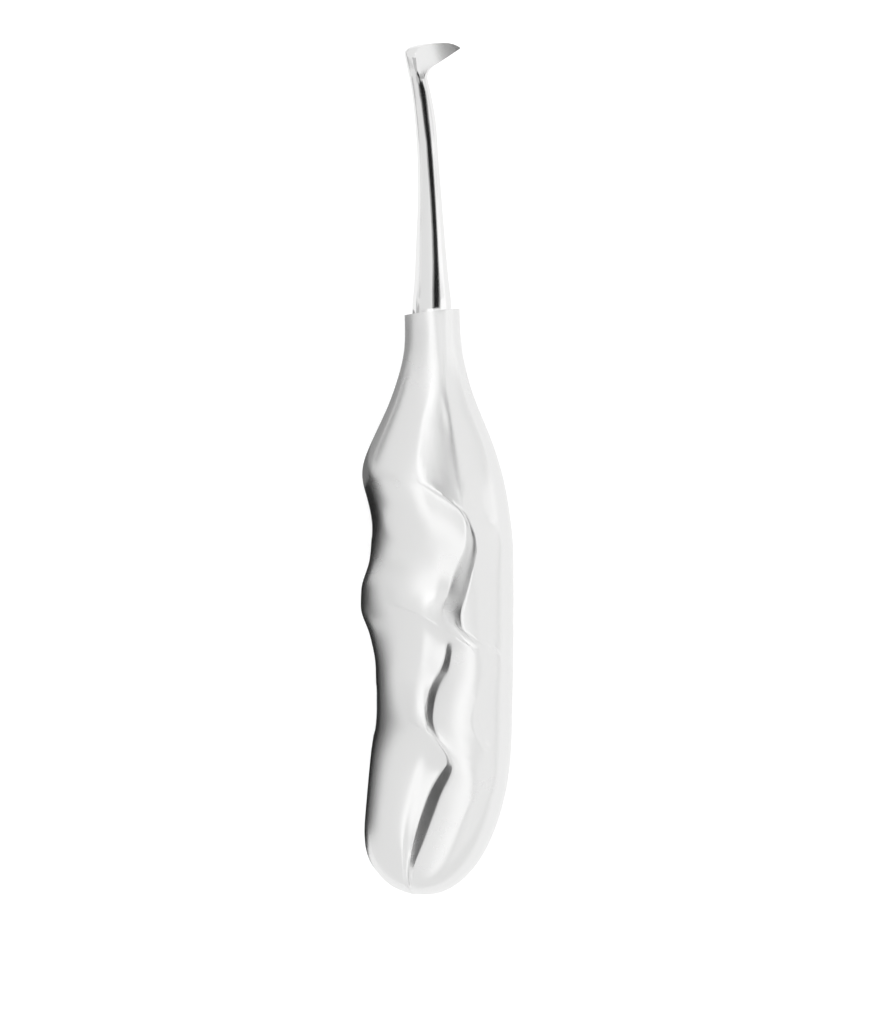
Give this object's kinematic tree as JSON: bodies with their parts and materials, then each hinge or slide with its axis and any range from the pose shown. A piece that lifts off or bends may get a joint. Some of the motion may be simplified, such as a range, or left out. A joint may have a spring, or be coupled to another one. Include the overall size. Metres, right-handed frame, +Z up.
{
  "type": "dental elevator",
  "caption": "Dental elevator: a hollow steel handle with fingertip pockets, a slim tapered shank and a flat triangular ground blade set square to it.",
  "frame": {"origin": "middle of the instrument's length and width, on the ground under its back", "axes": "+Y from the butt of the handle to the blade, +X towards the palm side, +Z up out of the front with the finger pockets"},
  "size_m": [0.0296, 0.1648, 0.019],
  "materials": {
    "satin_steel": "satin",
    "polished_steel": "polished"
  },
  "bodies": {
    "root": {"handle": "satin_steel", "shank_and_blade": "polished_steel"}
  },
  "joints": []
}
